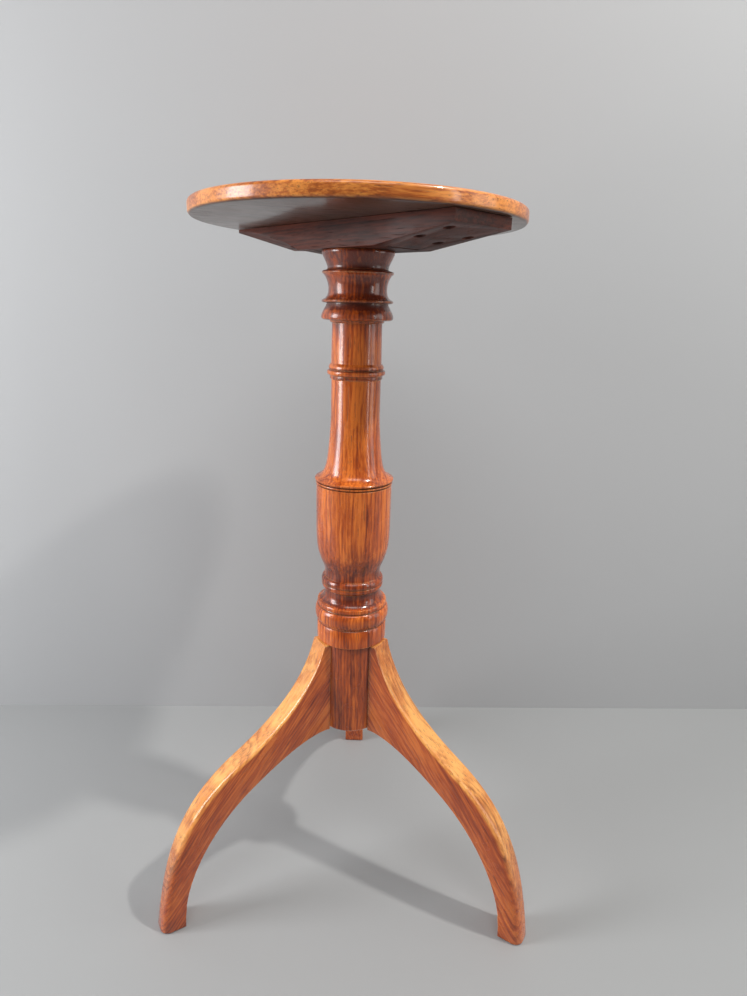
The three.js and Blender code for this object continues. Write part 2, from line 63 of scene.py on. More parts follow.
# legs
FRONT_LEG_DIP = 31.5             # degrees, front legs forward of the left-right line
LEG_TURNS = {"leg_left": 180 + FRONT_LEG_DIP, "leg_right": -FRONT_LEG_DIP, "leg_back": 90.0}
LEG_HALF = 12.5 * MM             # half of the board's thickness
LEG_STEPS = 14                   # stations in each of a side's two curves
SHOULDER = 31 * MM               # from the column's axis to the leg's root
UNDER_ARRIS = 1.3 * MM
SOLE_ARRIS = 1.5 * MM
LEG_GRAIN = Vector((0.62, 0, -0.78))
LEG_PITH = {"leg_left": (0.03, 0.09, 0.0), "leg_right": (0.045, -0.1, 0.4), "leg_back": (0.02, 0.12, 0.9)}

# top
TOP_SIDES = 240
RIM_ROUNDING = 3.2 * MM

# bearer, in its own frame
BEARER_HALF_LENGTH = 138 * MM
BEARER_HALF_WIDTH = 35 * MM
BEARER_ARRIS = 0.7 * MM
TAPER_LENGTH = 83 * MM
TAPER_RISE = 13 * MM             # how far the underside has risen at the tapered end
SCOOP_RADIUS = 247 * MM
SCOOP_TIP = 9 * MM               # thickness left at the scooped end
SCOOP_TILT = math.radians(9.7)
SCOOP_REACH = 0.15
SLOT_HALF = 19.5 * MM
SLOT_TAIL = 40 * MM              # from the column's axis to the slot's closed end
NOSE_ROOM = 1.3 * MM             # room for the turning block at the slot's other end
PIN_COVER = 5 * MM               # wood left at the pin's blind end
PIN_HOLE = 4.3 * MM
BOLT_X = -20 * MM
BOLT_DROP = 9.5 * MM             # bolt's axis below the top board
BOLT_HOLE = 3.35 * MM
HOLE_REACH = Vector((0, 0.1, 0))
POCKET_RADIUS = 5 * MM
POCKET_COVER = 5.5 * MM          # wood between a screw's pocket and the top board
# x and y in millimetres
SCREW_PLACES = [(93, -22), (122, -22), (81, 14), (105, 23), (-68, -21), (-97, -21), (-84, 20), (-118, 20)]

# studio
STUDIO_SIZE = 12.0
FLOOR_DROP = 0.5 * MM
WALL_BEHIND = 0.278              # from the column's axis to the wall
WALL_SUNK = 0.01                 # how far the wall goes below the floor
WALL_TURN = math.radians(2.4)
# name, place, target, width, height, watts, colour
LIGHTS = [
    ("key", (1.005, -0.387, 2.0), (0, 0, 0.3), 0.09, 0.09, 21, (1.0, 0.98, 0.95)),
    ("left_window", (-1.25, -0.4, 0.72), (0, 0, 0.4), 0.42, 0.95, 15, (0.97, 0.98, 1.0)),
    ("left_room", (-1.4, -0.2, 0.75), (0, -0.15, 0.4), 0.5, 1.4, 3.5, (0.98, 0.98, 1.0)),
    ("right_window", (1.3, -0.75, 0.8), (0, 0, 0.4), 0.12, 1.1, 3, (1.0, 0.98, 0.95)),
    ("right_room", (1.4, -0.2, 0.75), (0, -0.15, 0.4), 0.5, 1.4, 4.5, (1.0, 0.99, 0.97)),
    ("overhead", (0, -1.15, 2.5), (0, 0, 0.5), 1.4, 1.0, 19, (1.0, 1.0, 1.0)),
]
SKY_COLOUR = (0.5, 0.51, 0.53, 1)
SKY_STRENGTH = 0.26

# camera
CAMERA_LENS, CAMERA_SENSOR = 23.57, 36
CAMERA_X, CAMERA_AHEAD, CAMERA_HEIGHT = 0.0225, 0.6248, 0.6142
CAMERA_PITCH, CAMERA_ROLL, CAMERA_HEADING = math.radians(16.46), math.radians(1.6), math.radians(0.26)

# ------------------------------------------------------------------ places from the frame

mounts = {mount["name"]: mount for mount in frame["record"]["mounts"]}
joints = {joint["name"]: joint for joint in frame["joints"]}

column_x, column_y, table_height = mounts["top_surface"]["pos_m"]
tilt_axis = Vector(joints["top_tilt"]["axis"])
pivot = Vector(joints["top_tilt"]["pos_m"])

# The bearer's frame has X along the bearer, towards its tapered end, and Y along the tilt's axis.
bearer_turn = math.atan2(tilt_axis.y, tilt_axis.x) - math.pi / 2
bearer_frame = Matrix.Translation((column_x, column_y, 0)) @ Matrix.Rotation(bearer_turn, 4, "Z")
pivot_local = bearer_frame.inverted() @ pivot

top_low, top_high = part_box("table_top")
bearer_low, bearer_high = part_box("bearer")


# ------------------------------------------------------------------ modelling helpers

def select_nothing():
    """Leave edit mode and deselect every object."""
    if bpy.context.object and bpy.context.object.mode != "OBJECT":
        bpy.ops.object.mode_set(mode="OBJECT")
    bpy.ops.object.select_all(action="DESELECT")


def edit(piece):
    """Select one piece alone and open it in edit mode."""
    select_nothing()
    piece.select_set(True)
    bpy.context.view_layer.objects.active = piece
    bpy.ops.object.mode_set(mode="EDIT")


def close():
    """Back to object mode; returns the piece that was edited."""
    bpy.ops.object.mode_set(mode="OBJECT")
    return bpy.context.object


def choose(kind, test):
    """In edit mode, select the vertices, edges or faces (VERT, EDGE, FACE) that pass the test."""
    piece = bpy.context.object
    bpy.ops.mesh.select_mode(type=kind)
    bpy.ops.mesh.select_all(action="DESELECT")
    mesh = bmesh.from_edit_mesh(piece.data)
    parts = {"VERT": mesh.verts, "EDGE": mesh.edges, "FACE": mesh.faces}[kind]
    parts.index_update()
    for part in parts:
        if test(part):
            part.select_set(True)
    mesh.select_flush_mode()
    bmesh.update_edit_mesh(piece.data)


def box(name, low, high):
    """Block given by its lowest and highest corners."""
    select_nothing()
    low, high = Vector(low), Vector(high)
    bpy.ops.mesh.primitive_cube_add(size=1, location=(low + high) / 2)
    bpy.ops.transform.resize(value=high - low)
    bpy.ops.object.transform_apply(location=True, rotation=True, scale=True)
    bpy.context.object.name = name
    return bpy.context.object


def rod(name, radius, start, end, sides=48):
    """Round bar between two points."""
    select_nothing()
    start, end = Vector(start), Vector(end)
    run = end - start
    turn = run.to_track_quat("Z", "Y").to_euler()
    middle_point = (start + end) / 2
    bpy.ops.mesh.primitive_cylinder_add(vertices=sides, radius=radius, depth=run.length,
                                        location=middle_point, rotation=turn)
    bpy.ops.object.transform_apply(location=True, rotation=True, scale=True)
    bpy.context.object.name = name
    return bpy.context.object


def turned(name, outline, steps):
    """Spin an outline of (radius, height) points in millimetres about the Z axis."""
    select_nothing()
    radius, height = outline[0]
    bpy.ops.mesh.primitive_plane_add(size=MM, location=(radius * MM, 0, height * MM))
    bpy.ops.object.transform_apply(location=True, rotation=True, scale=True)
    piece = bpy.context.object
    piece.name = name
    edit(piece)
    bpy.ops.mesh.select_mode(type="VERT")
    bpy.ops.mesh.select_all(action="SELECT")
    bpy.ops.mesh.merge(type="CENTER")
    for (r0, z0), (r1, z1) in zip(outline, outline[1:]):
        step = ((r1 - r0) * MM, 0, (z1 - z0) * MM)
        bpy.ops.mesh.extrude_vertices_move(TRANSFORM_OT_translate={"value": step})
    bpy.ops.mesh.select_all(action="SELECT")
    bpy.ops.mesh.spin(steps=steps, angle=math.tau, center=(0, 0, 0), axis=(0, 0, 1))
    bpy.ops.mesh.select_all(action="SELECT")
    bpy.ops.mesh.remove_doubles(threshold=WELD)
    bpy.ops.mesh.normals_make_consistent(inside=False)
    return close()


def modify(piece, kind, **settings):
    """Add a modifier with these settings and apply it."""
    select_nothing()
    piece.select_set(True)
    bpy.context.view_layer.objects.active = piece
    modifier = piece.modifiers.new(kind.lower(), kind)
    for key, value in settings.items():
        setattr(modifier, key, value)
    bpy.ops.object.modifier_apply(modifier=modifier.name)


def cut(piece, tool):
    """Take the tool's shape out of the piece."""
    modify(piece, "BOOLEAN", operation="DIFFERENCE", object=tool, solver="EXACT")
    bpy.data.objects.remove(tool)


def soften(piece, width):
    """Round the sharp arrises."""
    modify(piece, "BEVEL", width=width, segments=2, limit_method="ANGLE",
           angle_limit=math.radians(32), use_clamp_overlap=True)


def place(piece, matrix):
    """Move the piece by a matrix and put its place into its mesh."""
    select_nothing()
    piece.select_set(True)
    bpy.context.view_layer.objects.active = piece
    piece.matrix_world = matrix @ piece.matrix_world
    bpy.ops.object.transform_apply(location=True, rotation=True, scale=True)
    return piece


def copy_of(piece, name):
    """Another piece like this one, with a mesh of its own."""
    twin = piece.copy()
    twin.data = piece.data.copy()
    twin.name = name
    bpy.context.scene.collection.objects.link(twin)
    return twin


def finish_piece(piece, body, slot, material, *nodes, angle=32):
    """Smooth shading, material, and the piece's place in the frame."""
    select_nothing()
    piece.select_set(True)
    bpy.context.view_layer.objects.active = piece
    bpy.ops.object.shade_smooth_by_angle(angle=math.radians(angle))
    piece.data.materials.clear()
    piece.data.materials.append(material)
    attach(piece, body)
    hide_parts(*nodes)


def curve_points(p0, p1, p2, p3, steps):
    """Points of a cubic curve after its first one."""
    corners = (p0, p1, p2, p3)
    points = []
    for step in range(1, steps + 1):
        t = step / steps
        weights = ((1 - t) ** 3, 3 * t * (1 - t) ** 2, 3 * t * t * (1 - t), t ** 3)
        point = [sum(weight * corner[axis] for weight, corner in zip(weights, corners)) for axis in (0, 1)]
        points.append(tuple(point))
    return points


def bead(r0, z0, r1, z1, bulge, steps=10):
    """Half-round moulding between two points of a turned outline."""
    points = []
    for step in range(steps + 1):
        angle = math.pi * (step / steps - 0.5)
        share = (math.sin(angle) + 1) / 2
        points.append((r0 + (r1 - r0) * share + bulge * math.cos(angle), z0 + (z1 - z0) * share))
    return points


# ------------------------------------------------------------------ shader helpers

def feed(tree, node, inputs):
    """Fill a node's inputs, given by name or number, with values or with links from other sockets."""
    for key, value in inputs.items():
        if isinstance(value, bpy.types.NodeSocket):
            tree.links.new(value, node.inputs[key])
        else:
            node.inputs[key].default_value = value


def new_node(tree, kind, inputs=None, **settings):
    """Add a node with these settings and inputs."""
    made = tree.nodes.new(kind)
    for key, value in settings.items():
        setattr(made, key, value)
    feed(tree, made, inputs or {})
    return made


def maths(tree, operation, *values, clamp=False):
    """Output of a Math node."""
    inputs = dict(enumerate(values))
    return new_node(tree, "ShaderNodeMath", inputs, operation=operation, use_clamp=clamp).outputs[0]


def blend_colours(tree, factor, a, b):
    """Output of a colour Mix node: a where the factor is 0, b where it is 1."""
    return new_node(tree, "ShaderNodeMix", {0: factor, 6: a, 7: b}, data_type="RGBA").outputs[2]


def band(tree, value, low, high, to_low=0.0, to_high=1.0):
    """A value between low and high spread smoothly over to_low to to_high."""
    inputs = {"Value": value, "From Min": low, "From Max": high, "To Min": to_low, "To Max": to_high}
    return new_node(tree, "ShaderNodeMapRange", inputs, interpolation_type="SMOOTHSTEP").outputs[0]


def noise(tree, vector, scale, detail=3.0, roughness=0.5, distortion=0.0):
    """Factor of a Noise Texture."""
    inputs = {"Vector": vector, "Scale": scale, "Detail": detail, "Roughness": roughness,
              "Distortion": distortion}
    return new_node(tree, "ShaderNodeTexNoise", inputs).outputs["Fac"]


def stretched(tree, vector, across, along):
    """Vector scaled for a pattern that runs along Z."""
    inputs = {0: vector, 1: (across, across, along)}
    return new_node(tree, "ShaderNodeVectorMath", inputs, operation="MULTIPLY").outputs[0]


def new_group(name, inputs, outputs):
    """Empty node group with its input and output nodes; sockets are (name, kind, default)."""
    tree = bpy.data.node_groups.new(name, "ShaderNodeTree")
    for label, kind, default in inputs:
        socket = tree.interface.new_socket(name=label, in_out="INPUT", socket_type=kind)
        if default is not None:
            socket.default_value = default
    for label, kind in outputs:
        tree.interface.new_socket(name=label, in_out="OUTPUT", socket_type=kind)
    entry = tree.nodes.new("NodeGroupInput")
    leave = tree.nodes.new("NodeGroupOutput")
    return tree, entry.outputs, leave.inputs


def use_group(tree, group, inputs):
    """Put a node group into a material; returns its outputs."""
    made = tree.nodes.new("ShaderNodeGroup")
    made.node_tree = group
    feed(tree, made, inputs)
    return made.outputs


FLOAT = "NodeSocketFloat"
VECTOR = "NodeSocketVector"
RING_WIDTH = 3.4 * MM
# near-black of the hollows: grime and painted shade
GRIME_AND_SHADE_COLOUR = (0.03, 0.008, 0.005)
# how far the painted shade under the top fades in
UNDER_SHADE_FADE = 1.6 * MM


def make_oak_figure():
    """Ring-porous oak with its grain along Z: growth rings, pores, ray flecks and cloudy colour."""
    tree, given, result = new_group(
        "oak_figure",
        [("Vector", VECTOR, None), ("Ring Width", FLOAT, 0.0032), ("Waviness", FLOAT, 0.009)],
        [("Rings", FLOAT), ("Pores", FLOAT), ("Flecks", FLOAT), ("Cloud", FLOAT), ("Streaks", FLOAT)],
    )
    vector = given["Vector"]

    # the rings wander slowly along the grain, and no two are the same width
    slow = new_node(tree, "ShaderNodeTexNoise",
                    {"Vector": stretched(tree, vector, 1.0, 0.5), "Scale": 16.0, "Detail": 3.0})
    centred = new_node(tree, "ShaderNodeVectorMath", {0: slow.outputs["Color"], 1: (0.5, 0.5, 0.5)},
                       operation="SUBTRACT").outputs[0]
    wander = new_node(tree, "ShaderNodeVectorMath", {0: centred, "Scale": given["Waviness"]},
                      operation="SCALE").outputs[0]
    warped = new_node(tree, "ShaderNodeVectorMath", {0: vector, 1: wander}, operation="ADD").outputs[0]
    flat = new_node(tree, "ShaderNodeVectorMath", {0: warped, 1: (1.0, 1.0, 0.0)},
                    operation="MULTIPLY").outputs[0]
    pith_distance = new_node(tree, "ShaderNodeVectorMath", {0: flat}, operation="LENGTH").outputs["Value"]
    turns = maths(tree, "DIVIDE", pith_distance, given["Ring Width"])
    uneven = noise(tree, stretched(tree, warped, 1.0, 0.15), 70.0, 2.0, 0.5)
    turns = maths(tree, "MULTIPLY_ADD", uneven, 2.2, turns)
    share = maths(tree, "FRACT", turns)
    ring_tone = new_node(tree, "ShaderNodeTexWhiteNoise", {"W": maths(tree, "FLOOR", turns)},
                         noise_dimensions="1D").outputs["Value"]
    latewood = band(tree, share, 0.25, 0.92)
    ring_end = band(tree, share, 0.94, 1.0, 1.0, 0.0)
    rings = maths(tree, "MULTIPLY", latewood, ring_end)
    rings = maths(tree, "MULTIPLY", rings, maths(tree, "MULTIPLY_ADD", ring_tone, 0.8, 0.2))

    # pores are short dark lines, crowded where each ring starts
    earlywood = band(tree, share, 0.0, 0.45, 1.0, 0.2)
    fine = noise(tree, stretched(tree, warped, 1.0, 0.05), 1500.0, 2.0, 0.6)
    coarse = noise(tree, stretched(tree, warped, 1.0, 0.07), 620.0, 2.0, 0.55)
    pore_field = maths(tree, "MULTIPLY_ADD", coarse, 0.55, maths(tree, "MULTIPLY", fine, 0.45))
    threshold = maths(tree, "MULTIPLY_ADD", earlywood, -0.09, 0.615)
    pores = band(tree, maths(tree, "SUBTRACT", pore_field, threshold), 0.0, 0.06)

    # ray flecks lie across the grain in short bright dashes
    fleck_field = noise(tree, stretched(tree, vector, 1.0, 0.22), 300.0, 1.0, 0.4, 0.4)
    flecks = band(tree, fleck_field, 0.58, 0.7)

    cloud = noise(tree, stretched(tree, vector, 1.0, 0.35), 26.0, 4.0, 0.6)
    broad = noise(tree, stretched(tree, warped, 1.0, 0.10), 170.0, 3.0, 0.6)
    narrow = noise(tree, stretched(tree, warped, 1.0, 0.07), 560.0, 3.0, 0.65)
    streaks = maths(tree, "MULTIPLY_ADD", broad, 0.5, maths(tree, "MULTIPLY", narrow, 0.5))

    tree.links.new(rings, result["Rings"])
    tree.links.new(pores, result["Pores"])
    tree.links.new(flecks, result["Flecks"])
    tree.links.new(cloud, result["Cloud"])
    tree.links.new(streaks, result["Streaks"])
    return tree


def make_wear():
    """Masks for handled arrises and for the hollows, both broken up by noise. In the oak the arris mask paints
    highlights as well as rubbing, and the hollow mask, from ambient occlusion, paints shade as well as grime.
    """
    tree, given, result = new_group(
        "wear_and_shade",
        [("Vector", VECTOR, None), ("Edge Radius", FLOAT, 0.0015), ("Hollow Reach", FLOAT, 0.008)],
        [("Arris", FLOAT), ("Grime And Shade", FLOAT), ("Rub", FLOAT)],
    )
    rounded = new_node(tree, "ShaderNodeBevel", {"Radius": given["Edge Radius"]}, samples=4).outputs[0]
    true_normal = new_node(tree, "ShaderNodeNewGeometry").outputs["Normal"]
    facing = new_node(tree, "ShaderNodeVectorMath", {0: rounded, 1: true_normal},
                      operation="DOT_PRODUCT").outputs["Value"]
    edge = band(tree, maths(tree, "SUBTRACT", 1.0, facing), 0.01, 0.16)
    patches = noise(tree, given["Vector"], 55.0, 4.0, 0.65)
    broken = band(tree, patches, 0.36, 0.62)
    tree.links.new(maths(tree, "MULTIPLY", edge, broken), result["Arris"])

    # ambient occlusion: painted shade in the hollows, together with grime
    hollow = new_node(tree, "ShaderNodeAmbientOcclusion", {"Distance": given["Hollow Reach"]},
                      only_local=True, samples=6).outputs["AO"]
    shelter = maths(tree, "SUBTRACT", 1.0, hollow)
    grime_and_shade = maths(tree, "MULTIPLY", band(tree, shelter, 0.14, 0.56),
                 maths(tree, "MULTIPLY_ADD", patches, 0.8, 0.5))
    tree.links.new(grime_and_shade, result["Grime And Shade"])
    tree.links.new(band(tree, noise(tree, given["Vector"], 9.0, 5.0, 0.7), 0.35, 0.7), result["Rub"])
    return tree


oak_figure = make_oak_figure()
wear_and_shade = make_wear()


def shade_and_tone_by_height(tree, height, zones):
    """Darkening between heights, fading out on both sides; zones are (from, to, fade, amount)."""
    total = 0.0
    for low, high, fade, amount in zones:
        rise = band(tree, height, low - fade, low, 0.0, amount)
        fall = band(tree, height, high, high + fade, 0.0, -amount)
        total = maths(tree, "ADD", total, maths(tree, "ADD", rise, fall))
    return total


def oak(name, grain_along, pith, colours, polish, figure=0.35, contrast=0.5, arris_rub_and_highlight=0.75, coat=0.5,
        gloss=0.4, hollow_reach=8 * MM, under=None, painted_top_light=None, shade_and_tone=()):
    """Polished oak with its grain along a direction.

    pith is the tree's centre; colours are light, middle, deep and the arris tone, which paints rubbed arrises
    and their highlights. under is (height, colour) of painted shade on the underside below that height, the
    upper-face colour is painted light on faces turned up, and the height zones are painted shade in the
    hollows with darker tone elsewhere.
    """
    light, middle_tone, deep, rubbed_and_highlight_tone = colours
    material = bpy.data.materials.new(name)
    material.use_nodes = True
    tree = material.node_tree
    shader = tree.nodes["Principled BSDF"]
    place_in = new_node(tree, "ShaderNodeTexCoord").outputs["Object"]
    turn = Vector(grain_along).rotation_difference(Vector((0, 0, 1))).to_euler()
    mapping = {"Vector": place_in, "Rotation": turn, "Location": pith}
    vector = new_node(tree, "ShaderNodeMapping", mapping, vector_type="POINT").outputs[0]
    grain = use_group(tree, oak_figure, {"Vector": vector, "Ring Width": RING_WIDTH})
    wear_and_shade_masks = use_group(tree, wear_and_shade, {"Vector": place_in, "Hollow Reach": hollow_reach})
    height = new_node(tree, "ShaderNodeSeparateXYZ", {0: place_in}).outputs["Z"]

    depth = maths(tree, "MULTIPLY_ADD", grain["Rings"], figure,
                  band(tree, grain["Streaks"], 0.34, 0.66, -0.06, contrast))
    depth = maths(tree, "ADD", depth, band(tree, grain["Cloud"], 0.3, 0.7, -0.16, 0.3))
    # the height zones paint shade in the column's hollows and a darker tone at the cup, the upper column and the
    # post
    if shade_and_tone:
        uneven = maths(tree, "MULTIPLY_ADD", grain["Cloud"], 0.8, 0.6)
        depth = maths(tree, "MULTIPLY_ADD", shade_and_tone_by_height(tree, height, shade_and_tone), uneven, depth)
    ramp = new_node(tree, "ShaderNodeValToRGB", {"Fac": maths(tree, "ADD", depth, 0.0, clamp=True)})
    stops = ramp.color_ramp.elements
    stops[0].position, stops[0].color = 0.05, (*light, 1)
    stops[1].position, stops[1].color = 0.95, (*deep, 1)
    stops.new(0.45).color = (*middle_tone, 1)
    colour = ramp.outputs["Color"]
    # painted light: faces turned up are paler, as where light from above falls, broken into patches
    if painted_top_light:
        facing_up = new_node(tree, "ShaderNodeSeparateXYZ",
                             {0: new_node(tree, "ShaderNodeNewGeometry").outputs["Normal"]}).outputs["Z"]
        painted_top_light_mask = maths(tree, "MULTIPLY", band(tree, facing_up, 0.1, 0.5),
                         band(tree, depth, 0.1, 1.0, 0.85, 0.25))
        patchy = band(tree, noise(tree, place_in, 38.0, 4.0, 0.6), 0.36, 0.6, 0.5, 1.0)
        painted_top_light_mask = maths(tree, "MULTIPLY", painted_top_light_mask, patchy)
        colour = blend_colours(tree, painted_top_light_mask, colour, (*painted_top_light, 1))
    pore_colour = tuple(channel * 0.6 for channel in deep)
    # pores and ray flecks are grain; the arris tone paints rubbing and highlights on the arrises, and the
    # near-black paints grime and shade in the hollows
    coats = [(grain["Pores"], 0.55, pore_colour), (grain["Flecks"], 0.18, light),
             (wear_and_shade_masks["Arris"], arris_rub_and_highlight, rubbed_and_highlight_tone), (wear_and_shade_masks["Grime And Shade"], 0.9, GRIME_AND_SHADE_COLOUR)]
    for mask, strength, tone in coats:
        colour = blend_colours(tree, maths(tree, "MULTIPLY", mask, strength), colour, (*tone, 1))
    # painted shade on the underside below the given height
    if under:
        below = band(tree, height, under[0], under[0] + UNDER_SHADE_FADE, 1.0, 0.0)
        under_shade = maths(tree, "MULTIPLY", below, maths(tree, "MULTIPLY_ADD", grain["Cloud"], -0.3, 1.05))
        colour = blend_colours(tree, under_shade, colour, (*under[1], 1))
    tree.links.new(colour, shader.inputs["Base Color"])

    rough = maths(tree, "MULTIPLY_ADD", wear_and_shade_masks["Rub"], 0.14, polish)
    rough = maths(tree, "MULTIPLY_ADD", grain["Pores"], 0.25, rough)
    rough = maths(tree, "MULTIPLY_ADD", wear_and_shade_masks["Grime And Shade"], 0.35, rough, clamp=True)
    tree.links.new(rough, shader.inputs["Roughness"])
    shader.inputs["Specular IOR Level"].default_value = gloss
    shader.inputs["Coat Weight"].default_value = coat
    shader.inputs["Coat Roughness"].default_value = 0.12

    ridges = maths(tree, "MULTIPLY", grain["Streaks"], 0.4)
    relief = maths(tree, "MULTIPLY_ADD", grain["Pores"], -0.7, ridges)
    bump = new_node(tree, "ShaderNodeBump", {"Height": relief, "Strength": 0.3, "Distance": 0.25 * MM})
    tree.links.new(bump.outputs[0], shader.inputs["Normal"])
    return material


def metal(name, colour, tarnish, rough, tarnish_rough):
    """Old metal with dull spots and bright handled arrises."""
    material = bpy.data.materials.new(name)
    material.use_nodes = True
    tree = material.node_tree
    shader = tree.nodes["Principled BSDF"]
    place_in = new_node(tree, "ShaderNodeTexCoord").outputs["Object"]
    wear_and_shade_masks = use_group(tree, wear_and_shade, {"Vector": place_in, "Edge Radius": 0.5 * MM, "Hollow Reach": 2 * MM})
    spots = noise(tree, place_in, 120.0, 5.0, 0.65)
    scratches = noise(tree, stretched(tree, place_in, 1.0, 0.08), 900.0, 3.0, 0.6)
    dull = maths(tree, "ADD", band(tree, spots, 0.35, 0.65), maths(tree, "MULTIPLY", wear_and_shade_masks["Grime And Shade"], 0.8),
                 clamp=True)
    dull = maths(tree, "SUBTRACT", dull, maths(tree, "MULTIPLY", wear_and_shade_masks["Arris"], 0.7), clamp=True)
    tree.links.new(blend_colours(tree, dull, (*colour, 1), (*tarnish, 1)), shader.inputs["Base Color"])
    tree.links.new(maths(tree, "MULTIPLY_ADD", dull, -0.35, 1.0), shader.inputs["Metallic"])
    roughness = maths(tree, "MULTIPLY_ADD", dull, tarnish_rough - rough, rough)
    tree.links.new(maths(tree, "MULTIPLY_ADD", scratches, 0.15, roughness), shader.inputs["Roughness"])
    bump = new_node(tree, "ShaderNodeBump", {"Height": spots, "Strength": 0.3, "Distance": 0.15 * MM})
    tree.links.new(bump.outputs[0], shader.inputs["Normal"])
    return material


# ------------------------------------------------------------------ finishes

# light, middle and deep tones, then the tone of rubbed arrises, which also paints their highlights
TURNED_COLOURS = ((0.8, 0.2, 0.03), (0.47, 0.083, 0.013), (0.14, 0.022, 0.009), (0.95, 0.46, 0.17))
LEG_COLOURS = ((0.68, 0.17, 0.03), (0.44, 0.075, 0.014), (0.15, 0.022, 0.009), (0.95, 0.52, 0.2))
TOP_COLOURS = ((0.86, 0.31, 0.055), (0.5, 0.125, 0.02), (0.1, 0.022, 0.009), (0.95, 0.55, 0.2))
BEARER_COLOURS = ((0.115, 0.024, 0.011), (0.06, 0.013, 0.007), (0.014, 0.005, 0.004), (0.2, 0.07, 0.04))
# painted light on the legs' upward faces
LEG_PAINTED_TOP_LIGHT = (1.0, 0.5, 0.14)

# painted shade in the column's hollows, grooves and undercuts, and darker tone at the cup, the upper column and
# the post: (from, to, fade, amount)
COLUMN_SHADE_AND_TONE = [
    (0.170, 0.277, 0.004, 0.16),
    (0.3235, 0.3350, 0.002, 0.5),
    (0.3490, 0.3580, 0.022, 0.42),
    (0.5475, 0.5505, 0.001, 0.5),
    (0.5552, 0.5572, 0.001, 0.4),
    (0.5975, 0.6720, 0.020, 0.22),
    (0.6105, 0.6155, 0.002, 0.45),
    (0.6195, 0.6370, 0.003, 0.2),
    (0.6430, 0.6720, 0.003, 0.4),
]

bearer_along = (math.cos(bearer_turn), math.sin(bearer_turn), 0)
oak_turned = oak("oak_turned", (0, 0, 1), (0.03, 0.062, 0.0), TURNED_COLOURS, 0.2, hollow_reach=12 * MM,
                 shade_and_tone=COLUMN_SHADE_AND_TONE)
oak_dark = oak("oak_dark", bearer_along, (0.02, 0.06, 0.0), BEARER_COLOURS, 0.45, arris_rub_and_highlight=0.3,
               coat=0.0, gloss=0.25)
# the top's underside gets painted shade
oak_top = oak("oak_top", (1, 0.3, 0), (0.03, 0.11, 0.0), TOP_COLOURS, 0.28, figure=0.3,
              under=(0.6832, (0.02, 0.011, 0.008)))
iron = metal("iron", (0.12, 0.11, 0.1), (0.045, 0.03, 0.024), 0.4, 0.75)
brass = metal("brass", (0.6, 0.43, 0.18), (0.2, 0.13, 0.06), 0.28, 0.6)


# ------------------------------------------------------------------ column

def column_outline():
    """Radius and height in millimetres, from the post's underside to the tenon's end."""
    return [
        (0, 181), (32.2, 181), (33.2, 182), (33.2, 278.9),
        # collar and torus
        (35.2, 279), (35.9, 279.7), (35.9, 297.6), (35.4, 298.4), (34.8, 298.7), (34.6, 299.6),
        *bead(34.9, 300.4, 34.9, 316.4, 3.1, 14),
        (34.6, 317), (35.3, 317.4), (35.6, 318), (35.6, 321), (35.1, 321.7), (33.8, 322),
        *curve_points((33.6, 322.2), (30.2, 323.6), (28.6, 327), (28.5, 332), 7),
        (28.5, 335.2), (29.3, 335.6),
        # ring under the vase
        *bead(29.6, 336, 30.7, 341.5, 1.3, 7),
        *bead(30.7, 342, 29.4, 348, 1.5, 7),
        (28.7, 348.5), (28.3, 350.5),
        # vase
        (28.3, 355),
        *curve_points((28.3, 355), (28.9, 360.5), (33.4, 366), (35.9, 379.5), 9),
        *curve_points((35.9, 379.5), (36.9, 387), (37.2, 396), (37.2, 408), 6),
        (37.3, 444.6), (36.9, 445), (36.3, 445.4), (36.9, 445.9),
        *bead(37.4, 446.1, 37.4, 447.9, 0.6, 4),
        (36.6, 448.3), (36.8, 448.7),
        # lip and cavetto
        (38.2, 449.2), (38.7, 449.9), (38.7, 450.8), (38.1, 451.5),
        *curve_points((38.1, 451.5), (31.5, 453), (28.6, 459), (27.1, 468.5), 10),
        *curve_points((27.1, 468.5), (25.9, 476), (24.2, 492), (23.5, 512), 6),
        # shaft and its ring
        (23.5, 546.6), (23.9, 547), (24.7, 547.4), (24.9, 548.4), (24.9, 550.2), (25.6, 550.8),
        (26.8, 551.3), (27.4, 552.1), (27.5, 553.4), (27.3, 554.6), (26.7, 555.3), (25.6, 555.6),
        (25.3, 556.2), (25.9, 556.7), (26.1, 557.4),
        *curve_points((26.1, 557.4), (25.9, 559.2), (25, 560.6), (24, 561.4), 5),
        (23.7, 561.9), (23.3, 597.8),
        # bell
        (24, 598.3), (25, 598.8), (25.3, 599.6), (25.4, 600.2), (31.6, 600.8), (32.8, 601.5), (33.3, 602.8),
        (33.2, 604.2),
        *curve_points((33.2, 604.2), (32.6, 608), (29.6, 611), (28.4, 614.6), 7),
        (28.4, 615.3),
        # lower neck ring and scotia
        (31.6, 615.7), (32.6, 616.2), (32.9, 617), (32.6, 617.9), (31.4, 618.6),
        *curve_points((31.4, 618.6), (28.6, 619.6), (26.9, 622.4), (26.8, 627.2), 6),
        *curve_points((26.8, 627.2), (26.8, 632.6), (28.6, 637.4), (31.2, 640.1), 7),
        # upper neck ring
        (32.1, 640.6), (32.7, 641.4), (32.6, 642.4), (32, 643.1), (30, 643.7), (28.3, 644.3),
        # cup
        (27.8, 645.2), (27.8, 646.6),
        *curve_points((27.8, 646.6), (28.8, 650), (31, 653.2), (32.6, 657.4), 6),
        (33, 658.6), (32.9, 659.7), (32.4, 660.4),
        (12, 660.4), (12, 681.1), (11.6, 681.5), (0, 681.5),
    ]


